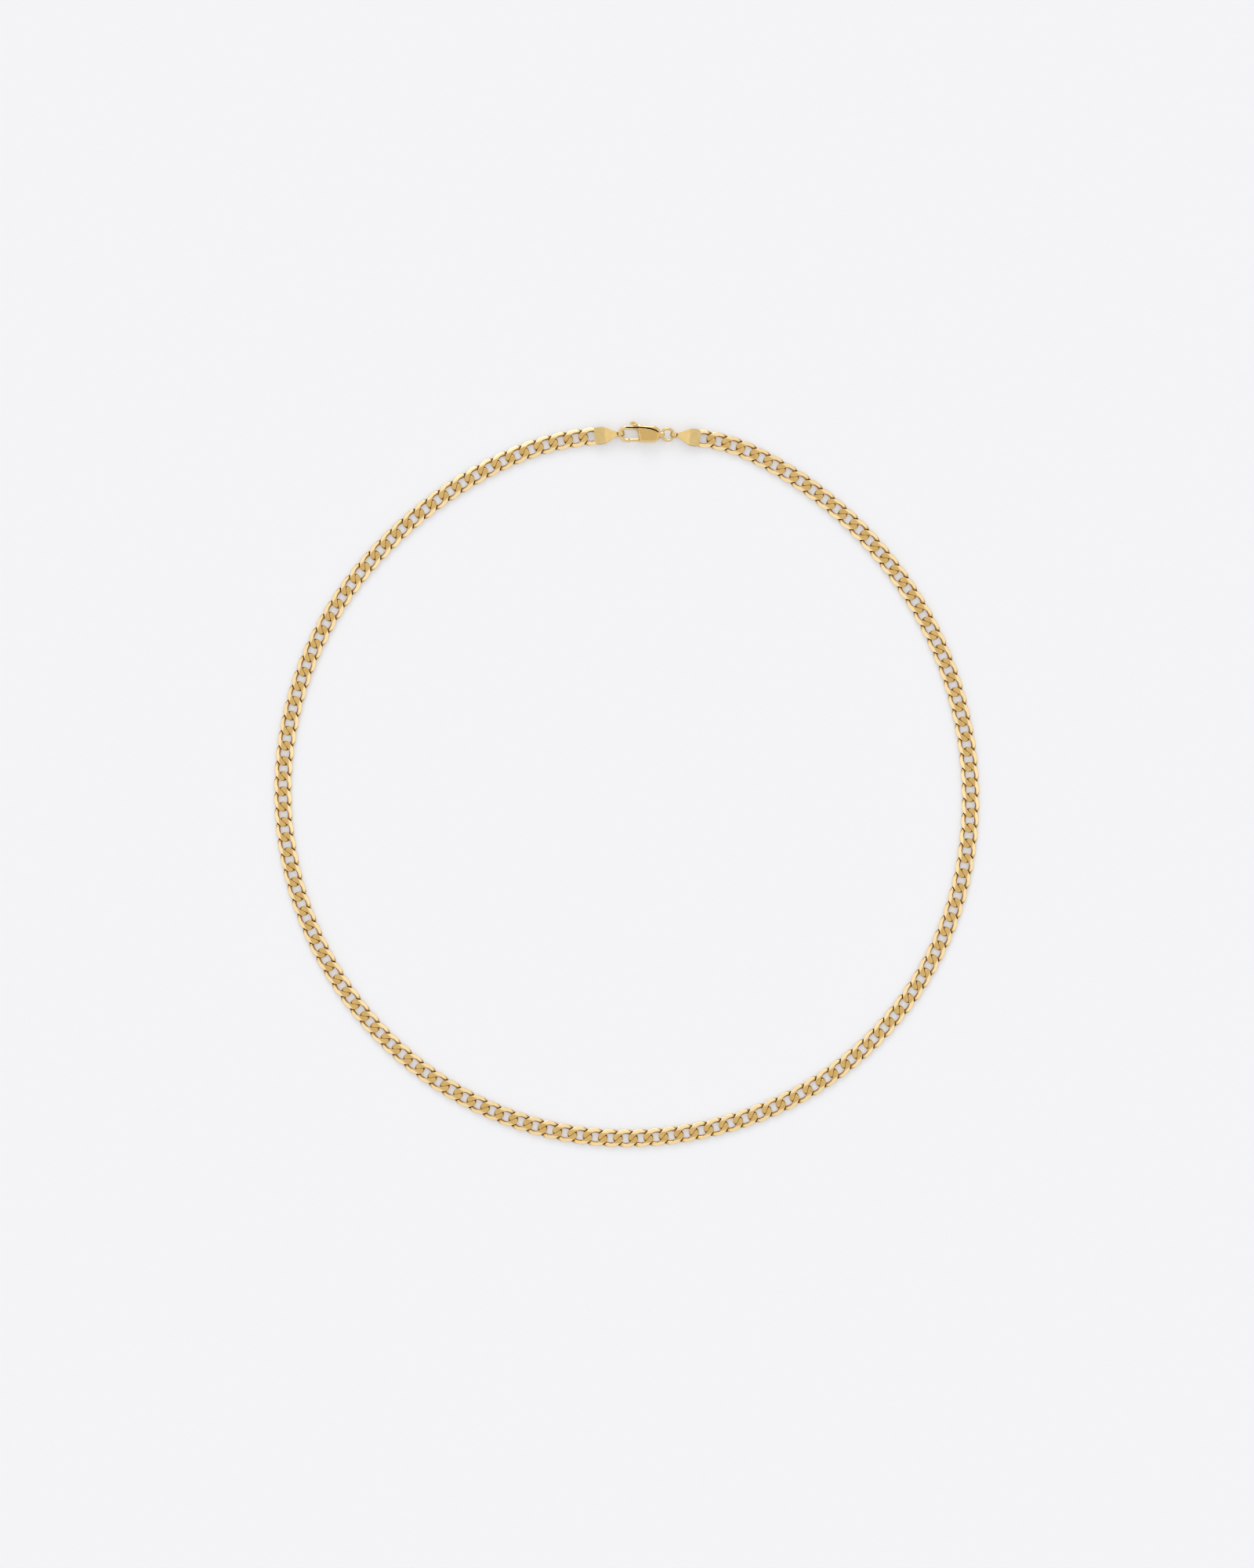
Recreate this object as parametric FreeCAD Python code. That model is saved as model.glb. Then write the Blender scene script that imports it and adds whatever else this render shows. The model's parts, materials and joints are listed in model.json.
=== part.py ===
import FreeCAD, Part

import math
import os

# Gold curb-link chain necklace, laid flat and closed by a lobster-claw clasp.
# Millimetres, +Z up.  The chain lies on Z = 0.  The front of the necklace is at -Y
# and the clasp is at +Y.  The origin is under the middle of the whole outline.

V = FreeCAD.Vector
UP = V(0, 0, 1)

# --- Curb links -------------------------------------------------------------
PITCH = 3.5              # distance from one link's centre to the next
WIRE_R = 0.50            # radius of the round wire before the faces are cut flat
LINK_A = 2.30            # half length of the wire's centre line
LINK_B = 1.52            # half width of the wire's centre line
LINK_TWIST = 50.0        # degrees each end of the link is turned about its length
FLAT_HALF = 0.52         # half thickness after diamond cutting
FLAT_EDGE = 1.23         # the flat ends here and the bevel begins, from the middle
BEVEL = 14.0             # degrees, slope of the bevelled facets
LINK_HALF_WIDTH = 2.03   # half width of the finished link
AROUND = 24              # points along the wire's closed centre line
ACROSS = 8               # points around the wire's section
SPLINE_ROUNDS = 60       # rounds of averaging that settle a closed spline's poles

# --- Route of the chain: tangent arcs from the middle of the front, (length, radius)
FRONT = (-0.34, -81.5)
RIGHT_ARCS = [(35.0, 84.4), (75.0, 75.4), (70.0, 87.0), (43.0, 89.8), (30.0, 36.0)]
LEFT_ARCS = [(35.0, 77.1), (75.0, 79.9), (70.0, 79.7), (43.0, 94.0), (30.0, 57.0)]
MIDDLE = (-0.08, -0.19)    # middle of the finished outline, moved to the origin
RIGHT_END = 67           # number of the last link on the right, counted from the front
LEFT_END = 69            # number of the last link on the left
PER_LENGTH = 3           # links that share one node and one body
LEVEL_TO = 64            # links up to this one lie flat, the rest climb to the end tab

# --- End tabs: a gold strip folded over the last link -------------------------
LEAF = 0.22              # thickness of the strip
TAB_START = 0.80         # edge of the strip, from the last link's centre
TAB_WIDE_END = 3.1       # the two leaves stay level up to here
TAB_FOLD = 4.6           # and have met by here
TAB_NIP = (0.85, 0.95)   # heights of the last of the space between them
TAB_SHOULDERS = [(TAB_START, 1.35), (1.05, 1.78), (1.65, 1.95), (2.75, 1.95)]
TAB_WAIST = [(2.75, 1.95), (3.65, 1.66), (4.7, 1.06), (5.6, 0.64)]
WAIST_END = 6.4          # the strip keeps its neck's width from here
LOOP_AT = 6.82           # middle of the loop's hole, from the last link's centre
LOOP_HALF = 0.72         # half length of the loop's hole, along the tab
LOOP_RISE = 0.26         # straight half height of the loop's hole between its round ends
NECK_HALF = 0.46         # half width of the strip where it turns round the wire
LOOP_Z = 1.20            # height of the middle of the loop, ring and clasp
LEAF_TOP = 2 * FLAT_HALF + 2 * LEAF
SLOT_LONG, SLOT_WIDE, SLOT_IN = 0.42, 0.70, 0.20   # opening through the loop's top

# --- Jump ring ----------------------------------------------------------------
RING_R = 1.345
RING_WIRE_R = 0.305
RING_GAP = 0.24          # from the ring's wire to the end of the tab's loop

# --- Lobster-claw clasp: u runs from the hook to the tail, v points outward ----
BODY_HALF = 1.94         # half width of the clasp
BODY_THICK = 2.40        # thickness of the clasp's body
HOOK_THICK = 1.00        # thickness of the hook
THICK_FROM, THICK_TO = 3.4, 4.7    # the hook swells into the body between these
THIN_FROM, THIN_TO = 8.9, 9.7      # the body narrows into the tail between these
SHOULDER_FROM = 8.2                # the plan starts to draw in to the tail
SHOULDER_MID = (9.16, 1.48)        # and passes here
EYE_FROM, EYE_TO = 0.94, 4.5
EYE_HALF = 0.97
TAIL_FROM, TAIL_TO = 9.75, 10.72
TAIL_HALF = 0.60
TAIL_ROUND = 0.2         # depth of the tail's rounded end
TAIL_THICK = 1.88
TAIL_HOLE_AT = 10.05
TAIL_HOLE_HALF = 0.48
TAIL_HOLE_RISE = 0.26
HOOK_WIRE_AT = 0.54      # middle of the hook's wire, where it passes the left loop
TAIL_WIRE_AT = 9.98     # where the jump ring's wire passes the tail
LEVER_PIVOT = (5.75, -0.85)
LEVER_THICK = 0.80
POCKET_THICK = 0.94
HUB_R = 0.80
TIP_AT, TIP_R = (3.2, 2.54), 0.52
PIN_R = 0.30
PIN_GAP = 0.03
PIN_LENGTH = 1.80
GROOVE_LINE = [(1.7, 1.44), (4.0, 1.44), (6.4, 1.36), (7.6, 1.16), (8.5, 0.86), (9.2, 0.46)]
GROOVE_WIDE = 0.32       # width of the engraved line
GROOVE_DEEP = 0.16
EDGE_ROUND = 0.16
GATE_GAP = [(2.53, -0.4), (2.53, -1.05), (2.66, -1.8), (2.74, -2.2), (4.8, -2.2), (4.8, -0.5)]
POCKET = [(4.0, -2.1), (6.3, -2.1), (6.75, -1.4), (6.75, -0.6), (6.95, -0.2), (8.3, -0.2),
          (8.3, 0.8), (7.05, 0.8), (7.05, 2.1), (4.05, 2.1), (4.05, 1.0), (4.6, 0.6), (4.0, -0.5)]
GATE = [(2.60, -1.08), (2.74, -1.80), (5.6, -1.80), (6.1, -1.5), (5.4, -0.35), (4.45, -0.98)]
ARM = [(5.1, -0.9), (6.45, -0.75), (6.2, 1.0), (5.2, 2.2), (4.2, 2.2), (4.95, 1.1)]
TRIGGER = [(3.0, 2.02), (4.75, 2.02), (4.15, 2.45), (3.62, 2.98), (3.2, 3.04)]

# --- Spring: a folded strip between the trigger's back and the pocket's end -------
SPRING_FROM, SPRING_TO = 6.47, 8.26
SPRING_SIDES = (-0.06, 0.66)
SPRING_FOLDS = 6
SPRING_THICK, SPRING_TALL = 0.10, 0.70


# --- Small helpers --------------------------------------------------------------
def prism(face, along):
    return face.extrude(along)


def plan_face(points, z):
    """Flat polygon at height z."""
    ring = [V(x, y, z) for x, y in points]
    return Part.Face(Part.makePolygon(ring + ring[:1]))


def side_prism(points, half_width):
    """Polygon in (X, Z), extruded both ways along Y."""
    ring = [V(x, -half_width, z) for x, z in points]
    return prism(Part.Face(Part.makePolygon(ring + ring[:1])), V(0, 2 * half_width, 0))


def obround_wire(x, z, half, rise, y):
    """Upright slot outline in the XZ plane: two round ends joined by straight sides."""
    a, b = V(x - half, y, z - rise), V(x + half, y, z - rise)
    c, d = V(x + half, y, z + rise), V(x - half, y, z + rise)
    low = Part.Arc(a, V(x, y, z - rise - half), b).toShape()
    high = Part.Arc(c, V(x, y, z + rise + half), d).toShape()
    return Part.Wire([low, Part.makeLine(b, c), high, Part.makeLine(d, a)])


def obround_bar(x, z, half, rise, half_width):
    face = Part.Face(obround_wire(x, z, half, rise, -half_width))
    return prism(face, V(0, 2 * half_width, 0))


def placed(shape, x, y, z, turn, climb=0.0):
    """Copy of a shape turned about Z by turn and tipped up along its X by climb."""
    level = FreeCAD.Placement(V(x, y, z), FreeCAD.Rotation(UP, turn))
    tipped = FreeCAD.Placement(V(0, 0, 0), FreeCAD.Rotation(V(0, 1, 0), -climb))
    out = shape.copy()
    out.Placement = level.multiply(tipped)
    return out


# --- The route --------------------------------------------------------------------
def on_route(side, length):
    """Point and heading (degrees) on the right (+1) or left (-1) half of the chain."""
    x, y, heading, left = 0.0, 0.0, 0.0, length
    for arc_length, radius in RIGHT_ARCS if side > 0 else LEFT_ARCS:
        step = min(left, arc_length)
        turned = heading + step / radius
        x += radius * (math.sin(turned) - math.sin(heading))
        y += radius * (math.cos(heading) - math.cos(turned))
        heading, left = turned, left - step
        if left <= 0:
            break
    angle = math.degrees(heading)
    return (FRONT[0] + side * x - MIDDLE[0], FRONT[1] + y - MIDDLE[1],
            angle if side > 0 else 180.0 - angle)


def link_frame(number):
    """Centre, heading and climb of a link: 0 is the front, + right and - left."""
    side = 1 if number >= 0 else -1
    count = abs(number)
    last = RIGHT_END if side > 0 else LEFT_END
    x, y, turn = on_route(side, count * PITCH)
    steps = max(0, count - LEVEL_TO)
    rise = LEAF * steps / (last - LEVEL_TO)
    climb = 0.0
    if 0 < steps and count < last:
        climb = math.degrees(math.atan(LEAF / ((last - LEVEL_TO) * PITCH)))
    return V(x, y, FLAT_HALF + rise), turn, climb


def crossing(number, inner):
    """Point midway between a link and the next one further from the front."""
    side = 1 if number > 0 else -1
    a, b = link_frame(side * inner)[0], link_frame(side * (inner + 1))[0]
    return (a + b) * 0.5


# --- One curb link --------------------------------------------------------------
def wire_centre(angle):
    twist = -math.radians(LINK_TWIST) * math.cos(angle)
    return V(LINK_A * math.cos(angle),
             LINK_B * math.sin(angle) * math.cos(twist),
             LINK_B * math.sin(angle) * math.sin(twist))


def wire_section(angle):
    """Points around the round wire at one place on its centre line."""
    step = 1e-5
    centre = wire_centre(angle)
    along = wire_centre(angle + step) - wire_centre(angle - step)
    along.normalize()
    out = along.cross(UP)
    out.normalize()
    over = out.cross(along)
    points = []
    for j in range(ACROSS):
        a = 2 * math.pi * j / ACROSS
        points.append(centre + out * (WIRE_R * math.cos(a)) + over * (WIRE_R * math.sin(a)))
    return points


def closed_poles(points):
    """Poles of the closed cubic spline that passes through the points."""
    n, poles = len(points), [V(p) for p in points]
    for _ in range(SPLINE_ROUNDS):
        poles = [(points[k] * 6 - (poles[k - 1] + poles[(k + 1) % n])) * 0.25 for k in range(n)]
    return poles


def curb_link():
    """Twisted oval of round wire, cut flat above and below with bevelled edges."""
    rows = [closed_poles(wire_section(2 * math.pi * i / AROUND)) for i in range(AROUND)]
    columns = [closed_poles([row[j] for row in rows]) for j in range(ACROSS)]
    poles = [[columns[j][i] for j in range(ACROSS)] for i in range(AROUND)]
    skin = Part.BSplineSurface()
    skin.buildFromPolesMultsKnots(
        poles, [1] * (AROUND + 1), [1] * (ACROSS + 1),
        [float(k) for k in range(AROUND + 1)], [float(k) for k in range(ACROSS + 1)],
        True, True, 3, 3)
    wire = Part.Solid(Part.Shell([skin.toShape()]))
    if wire.Volume < 0:
        wire.reverse()
    w, edge = LINK_HALF_WIDTH, FLAT_EDGE
    side = FLAT_HALF - (w - edge) * math.tan(math.radians(BEVEL))
    section = [(-w, -side), (-edge, -FLAT_HALF), (edge, -FLAT_HALF), (w, -side),
               (w, side), (edge, FLAT_HALF), (-edge, FLAT_HALF), (-w, side)]
    reach = LINK_A + 2 * WIRE_R
    ring = [V(-reach, y, z) for y, z in section]
    bar = prism(Part.Face(Part.makePolygon(ring + ring[:1])), V(2 * reach, 0, 0))
    return wire.common(bar).Solids[0]


# --- Folded end tab: X from the last link's centre to the loop -----------------
def tab_strip():
    """Side view of the folded strip: two level leaves, drawn together into the loop."""
    mid, reach = LOOP_Z, TAB_WAIST[0][1] + 0.5
    hole_top = LOOP_HALF + LOOP_RISE
    open_end = TAB_START - 0.5
    outer = [(TAB_START, 0), (TAB_WIDE_END, 0), (LOOP_AT, mid - hole_top - LEAF),
             (LOOP_AT, mid + hole_top + LEAF), (TAB_WIDE_END, LEAF_TOP), (TAB_START, LEAF_TOP)]
    inner = [(open_end, LEAF), (TAB_WIDE_END, LEAF), (TAB_FOLD, TAB_NIP[0]),
             (TAB_FOLD, TAB_NIP[1]), (TAB_WIDE_END, LEAF_TOP - LEAF), (open_end, LEAF_TOP - LEAF)]
    strip = side_prism(outer, reach)
    strip = strip.fuse(obround_bar(LOOP_AT, mid, LOOP_HALF + LEAF, LOOP_RISE, reach))
    strip = strip.cut(side_prism(inner, reach + 0.5))
    return strip.cut(obround_bar(LOOP_AT, mid, LOOP_HALF, LOOP_RISE, reach + 0.5))


def tab_plan():
    """Plan of the tab: wide over the link, with a waist that narrows to the loop."""
    tip = LOOP_AT + LOOP_HALF + LEAF + 0.1
    waist = [V(x, y, 0) for x, y in TAB_WAIST] + [V(WAIST_END, NECK_HALF, 0)]
    upper = Part.BSplineCurve()
    upper.interpolate(waist)
    lower = Part.BSplineCurve()
    lower.interpolate([V(p.x, -p.y, 0) for p in reversed(waist)])
    left = [V(x, y, 0) for x, y in TAB_SHOULDERS]
    right = [V(x, -y, 0) for x, y in reversed(TAB_SHOULDERS)]
    edges = [upper.toShape(),
             Part.makeLine(waist[-1], V(tip, NECK_HALF, 0)),
             Part.makeLine(V(tip, NECK_HALF, 0), V(tip, -NECK_HALF, 0)),
             Part.makeLine(V(tip, -NECK_HALF, 0), V(WAIST_END, -NECK_HALF, 0)),
             lower.toShape()]
    edges += [Part.makeLine(a, b) for a, b in zip(right, right[1:])]
    edges.append(Part.makeLine(right[-1], left[0]))
    edges += [Part.makeLine(a, b) for a, b in zip(left, left[1:])]
    return Part.Face(Part.Wire(edges))


def end_tab():
    plan = tab_plan()
    plan.translate(V(0, 0, -1))
    tab = tab_strip().common(prism(plan, V(0, 0, 5)))
    corner = V(LOOP_AT - LOOP_HALF - SLOT_IN, -SLOT_WIDE / 2, LOOP_Z)
    slot = Part.makeBox(SLOT_LONG, SLOT_WIDE, 2.0, corner)
    return tab.cut(slot).removeSplitter().Solids[0]


# --- Clasp ------------------------------------------------------------------------
def body_profile(shrink):
    """Side outline of the clasp: thin hook, full body and a thinner tail."""
    hook, body, tail = (t / 2 - shrink for t in (HOOK_THICK, BODY_THICK, TAIL_THICK))
    top = [(-0.2, hook), (THICK_FROM, hook), (THICK_TO, body),
           (THIN_FROM, body), (THIN_TO, tail), (TAIL_TO + 0.3, tail)]
    low = [(u, -w) for u, w in reversed(top)]
    return [(u, LOOP_Z + w) for u, w in top + low]


def body_outline():
    h, t, mid = BODY_HALF, TAIL_HALF, SHOULDER_MID
    end = TAIL_TO - TAIL_ROUND
    edges = [
        Part.Arc(V(h, -h, 0), V(0, 0, 0), V(h, h, 0)).toShape(),
        Part.makeLine(V(h, h, 0), V(SHOULDER_FROM, h, 0)),
        Part.Arc(V(SHOULDER_FROM, h, 0), V(*mid, 0), V(TAIL_FROM, t, 0)).toShape(),
        Part.makeLine(V(TAIL_FROM, t, 0), V(end, t, 0)),
        Part.Arc(V(end, t, 0), V(TAIL_TO, 0, 0), V(end, -t, 0)).toShape(),
        Part.makeLine(V(end, -t, 0), V(TAIL_FROM, -t, 0)),
        Part.Arc(V(TAIL_FROM, -t, 0), V(mid[0], -mid[1], 0), V(SHOULDER_FROM, -h, 0)).toShape(),
        Part.makeLine(V(SHOULDER_FROM, -h, 0), V(h, -h, 0)),
    ]
    return Part.Face(Part.Wire(edges))


def eye():
    """Long oval opening inside the claw."""
    e, a, b = EYE_HALF, EYE_FROM + EYE_HALF, EYE_TO - EYE_HALF
    edges = [
        Part.Arc(V(a, e, 0), V(EYE_FROM, 0, 0), V(a, -e, 0)).toShape(),
        Part.makeLine(V(a, -e, 0), V(b, -e, 0)),
        Part.Arc(V(b, -e, 0), V(EYE_TO, 0, 0), V(b, e, 0)).toShape(),
        Part.makeLine(V(b, e, 0), V(a, e, 0)),
    ]
    return prism(Part.Face(Part.Wire(edges)), V(0, 0, 4))


def groove():
    """Engraved line that sweeps round inside the claw's outer edge, on both faces."""
    edges = []
    for aside in (GROOVE_WIDE / 2, -GROOVE_WIDE / 2):
        curve = Part.BSplineCurve()
        curve.interpolate([V(u, v + aside, -1) for u, v in GROOVE_LINE])
        edges.append(curve.toShape())
    for u, v in (GROOVE_LINE[0], GROOVE_LINE[-1]):
        edges.append(Part.makeLine(V(u, v - GROOVE_WIDE / 2, -1), V(u, v + GROOVE_WIDE / 2, -1)))
    band = Part.Face(Part.Wire(Part.sortEdges(edges)[0]))
    return prism(band, V(0, 0, 5)).cut(side_prism(body_profile(GROOVE_DEEP), 3))


def clasp_body():
    claw = prism(body_outline(), V(0, 0, 4))
    claw = claw.cut(eye())
    claw = claw.cut(prism(plan_face(GATE_GAP, -1), V(0, 0, 6)))
    claw.translate(V(0, 0, -0.5))
    claw = claw.common(side_prism(body_profile(0), 3))
    edges = [e for e in claw.Edges if e.Length > 4 * EDGE_ROUND]
    claw = softened(claw, edges)
    claw = claw.cut(groove())
    tail_hole = obround_bar(TAIL_HOLE_AT, LOOP_Z, TAIL_HOLE_HALF, TAIL_HOLE_RISE, 2)
    claw = claw.cut(tail_hole)
    low = LOOP_Z - POCKET_THICK / 2
    claw = claw.cut(prism(plan_face(POCKET, low), V(0, 0, POCKET_THICK)))
    bore = Part.makeCylinder(PIN_R, PIN_LENGTH, V(*LEVER_PIVOT, LOOP_Z - PIN_LENGTH / 2))
    return claw.cut(bore).removeSplitter().Solids[0]


def softened(solid, edges):
    """Round the edges that OpenCascade can round; a refused set is left sharp."""
    try:
        rounded = solid.makeFillet(EDGE_ROUND, edges)
        if rounded.isValid() and rounded.Volume > 0.8 * solid.Volume:
            return rounded.Solids[0]
    except Part.OCCError:
        pass
    return solid


def clasp_lever():
    """Gate, hub and thumb trigger in one flat piece that turns on the pin."""
    low = LOOP_Z - LEVER_THICK / 2
    lever = Part.makeCylinder(HUB_R, LEVER_THICK, V(*LEVER_PIVOT, low))
    lever = lever.fuse(Part.makeCylinder(TIP_R, LEVER_THICK, V(*TIP_AT, low)))
    for outline in (GATE, ARM, TRIGGER):
        lever = lever.fuse(prism(plan_face(outline, low), V(0, 0, LEVER_THICK)))
    lever = lever.cut(Part.makeCylinder(PIN_R + PIN_GAP, 4, V(*LEVER_PIVOT, -1)))
    return lever.removeSplitter().Solids[0]


def clasp_pin():
    return Part.makeCylinder(PIN_R, PIN_LENGTH, V(*LEVER_PIVOT, LOOP_Z - PIN_LENGTH / 2))


def clasp_spring():
    """Folded strip of spring steel between the trigger's back and the pocket's end."""
    half = SPRING_THICK / 2
    low = LOOP_Z - SPRING_TALL / 2
    step = (SPRING_TO - SPRING_FROM - SPRING_THICK) / SPRING_FOLDS
    points = [(SPRING_FROM + half + k * step, SPRING_SIDES[k % 2])
              for k in range(SPRING_FOLDS + 1)]
    strip = None
    for (ua, va), (ub, vb) in zip(points, points[1:]):
        run = math.hypot(ub - ua, vb - va)
        leg = Part.makeBox(run + SPRING_THICK, SPRING_THICK, SPRING_TALL, V(-half, -half, 0))
        leg = placed(leg, ua, va, low, math.degrees(math.atan2(vb - va, ub - ua)))
        strip = leg if strip is None else strip.fuse(leg)
    return strip.removeSplitter().Solids[0]


# --- Where the findings go ------------------------------------------------------
def loop_centre(number):
    """Middle of the loop's hole of the tab on an end link."""
    centre, turn, _ = link_frame(number)
    ahead = V(math.cos(math.radians(turn)), math.sin(math.radians(turn)), 0)
    place = centre + ahead * LOOP_AT
    return V(place.x, place.y, LOOP_Z), ahead


def findings_places():
    """Hook point, clasp direction, tail point and ring centre, all at one height."""
    hook, _ = loop_centre(-LEFT_END)
    right_loop, ahead = loop_centre(RIGHT_END)
    ring_wire = right_loop + ahead * (LOOP_HALF - RING_WIRE_R - RING_GAP)
    along = ring_wire - hook
    along.normalize()
    tail = hook + along * (TAIL_WIRE_AT - HOOK_WIRE_AT)
    slack = (ring_wire - tail).Length - 2 * RING_R
    ring = tail + along * (RING_R + slack / 2)
    return hook, along, tail, ring, ring_wire, slack


# --- Nodes ------------------------------------------------------------------------
def link_groups():
    """Node name and its link numbers, from the front up both sides to the clasp."""
    groups = [("front_links", [-1, 0, 1])]
    for side, word, last in ((1, "right", RIGHT_END), (-1, "left", LEFT_END)):
        start, count = 2, 1
        while start < last:
            stop = start + PER_LENGTH
            if start > LEVEL_TO:
                stop = last
            groups.append((f"{word}_links_{count:02d}", [side * n for n in range(start, stop)]))
            start, count = stop, count + 1
        groups.append((f"{word}_end_link", [side * last]))
    return groups


def build():
    """All named pieces in their places."""
    link, tab = curb_link(), end_tab()
    nodes = {}
    for name, numbers in link_groups():
        solids = []
        for number in numbers:
            centre, turn, climb = link_frame(number)
            solids.append(placed(link, centre.x, centre.y, centre.z, turn, climb))
        nodes[name] = Part.makeCompound(solids)
    for number, name in ((RIGHT_END, "right_end_tab"), (-LEFT_END, "left_end_tab")):
        centre, turn, _ = link_frame(number)
        nodes[name] = placed(tab, centre.x, centre.y, 0, turn)
    hook, along, _, ring, _, _ = findings_places()
    nodes["jump_ring"] = Part.makeTorus(RING_R, RING_WIRE_R, ring, UP)
    turn = math.degrees(math.atan2(along.y, along.x))
    corner = hook - along * HOOK_WIRE_AT
    pieces = {"clasp_body": clasp_body(), "clasp_lever": clasp_lever(),
              "clasp_pin": clasp_pin(), "clasp_spring": clasp_spring()}
    for name, shape in pieces.items():
        nodes[name] = placed(shape, corner.x, corner.y, 0, turn)
    return nodes


def main():
    os.makedirs("parts", exist_ok=True)
    nodes = build()
    for name, shape in nodes.items():
        shape.exportStep(f"parts/{name}.step")
    print(len(nodes), "nodes; slack in the ring", round(findings_places()[-1], 3), "mm")


if __name__ == "__main__":
    main()
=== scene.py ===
import json
import math

import bmesh
import bpy
import numpy as np
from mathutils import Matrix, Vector

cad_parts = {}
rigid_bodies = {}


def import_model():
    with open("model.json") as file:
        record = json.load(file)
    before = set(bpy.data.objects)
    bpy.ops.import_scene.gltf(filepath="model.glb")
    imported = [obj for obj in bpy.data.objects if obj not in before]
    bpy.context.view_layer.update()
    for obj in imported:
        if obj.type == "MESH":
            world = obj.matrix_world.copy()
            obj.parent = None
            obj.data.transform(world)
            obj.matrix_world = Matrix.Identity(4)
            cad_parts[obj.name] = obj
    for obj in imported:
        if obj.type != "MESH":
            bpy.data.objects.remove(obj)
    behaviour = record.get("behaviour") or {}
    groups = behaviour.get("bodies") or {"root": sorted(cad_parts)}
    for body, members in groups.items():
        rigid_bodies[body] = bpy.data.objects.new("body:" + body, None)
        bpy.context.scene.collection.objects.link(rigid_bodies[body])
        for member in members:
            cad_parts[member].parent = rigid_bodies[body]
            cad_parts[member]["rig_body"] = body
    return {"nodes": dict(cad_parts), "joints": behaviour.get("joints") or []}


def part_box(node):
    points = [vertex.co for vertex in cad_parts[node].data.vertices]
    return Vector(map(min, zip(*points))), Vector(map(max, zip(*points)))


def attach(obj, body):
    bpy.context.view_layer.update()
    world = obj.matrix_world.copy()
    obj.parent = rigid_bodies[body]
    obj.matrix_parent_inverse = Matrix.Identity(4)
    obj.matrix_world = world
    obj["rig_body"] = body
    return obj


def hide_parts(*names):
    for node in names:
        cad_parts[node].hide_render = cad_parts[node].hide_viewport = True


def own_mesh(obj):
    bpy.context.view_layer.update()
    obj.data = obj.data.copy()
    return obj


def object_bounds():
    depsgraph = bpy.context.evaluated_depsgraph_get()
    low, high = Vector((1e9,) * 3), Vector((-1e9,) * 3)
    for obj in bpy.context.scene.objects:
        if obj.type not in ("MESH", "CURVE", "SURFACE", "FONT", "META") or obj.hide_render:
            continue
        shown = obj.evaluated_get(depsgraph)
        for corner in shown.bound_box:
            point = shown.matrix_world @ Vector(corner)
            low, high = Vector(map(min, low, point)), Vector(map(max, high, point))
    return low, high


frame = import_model()
CAD_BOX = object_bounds()

# A gold curb-link necklace, closed by a lobster-claw clasp, flat on a pale table.
# Sizes are millimetres, and every mesh is brought to metres last.
MM = 0.001
NODES = frame["nodes"]
WELD = 1e-4              # corners of a CAD mesh closer than this are one corner

# --- Shape of one curb link ---------------------------------------------------
WIRE_R = 0.53            # radius of the wire along the link's sides, before cutting
END_R = 0.66             # and at its ends, where pressing has spread it
LINK_A = 2.24            # half length of the wire's centre line
LINK_B = 1.54            # half width of the wire's centre line
LINK_TWIST = 40.0        # degrees each end is turned about the link's length
FLAT_HALF = 0.52         # half thickness between the cut faces
FLAT_EDGE = 1.10         # the flat ends and the bevel starts here
BEVEL = 17.0             # slope of the bevelled facets, degrees
HALF_WIDTH = 2.01        # half width between the faces that trim the link's two sides
PITCH = 3.50             # from one link to the next
SEAM = 0.06              # gap left between two links that are pressed together
TWIST_ROOM = 0.30        # how fast the gap grows, out from the middle, where wires cross
SNUG_HALF = 0.35         # and the half width over which it doesn't
PAINTED_SHADE_FROM = 0.1        # painted shade starts here, as the wire turns to face the hole
PAINTED_SHADE_MOST = 0.5        # and the painted shade gets no darker than this

# --- How finely a link is drawn -------------------------------------------------
AROUND = 120             # rings of vertices along the wire
ACROSS = 34              # vertices in each ring
EDGE_POWER = 44.0        # how crisply neighbouring facets meet
CORNER_PULL = 1.2        # how much a ring's vertices gather at its corners
SECTION_GRID = 25        # test points each way that find the middle of a section
SECTION_RAYS = 241       # directions in which a section's edge is found
SEAM_HALVINGS = 11       # steps in the search for the seam along each direction
NEIGHBOUR_POINTS = 101   # points on the near half of a neighbour's wire
GRAIN_STEP = (7.3, 3.1, 1.7)       # moves the brushing on from each link to the next

# --- End tabs -------------------------------------------------------------------
FLAT_WITHIN = 0.5        # faces that meet at less than this many degrees are one
TAB_SHARP = 28           # edges that turn by more than this many degrees are rounded
TAB_EDGE_R = 0.09        # radius of that rounding
TAB_EDGE_SEGMENTS = 3

# --- Jump ring ------------------------------------------------------------------
RING_AROUND = 160        # rings of vertices along the wire
RING_ACROSS = 32         # vertices in each ring
RING_GATHER = 0.54       # how much the rings of vertices gather at the join
RING_LINE_DEEP = 0.10    # depth of the fine lines, as a share of the wire's radius
RING_LINE_HALF = 0.014   # their half width, in radians about the ring

# --- Clasp: places along it are measured from the hook's end, across from its middle
HOOK_WIRE_AT = 0.54      # middle of the hook's wire, which the clasp rolls about
PIN_ROOM = 0.45          # the pin's own hole has no drawn-down rim
SETTLE_ROUNDS = 4        # rounds of smoothing of the fine net
ALL_ALONG = -math.inf    # a stretch that starts before the clasp does

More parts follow.
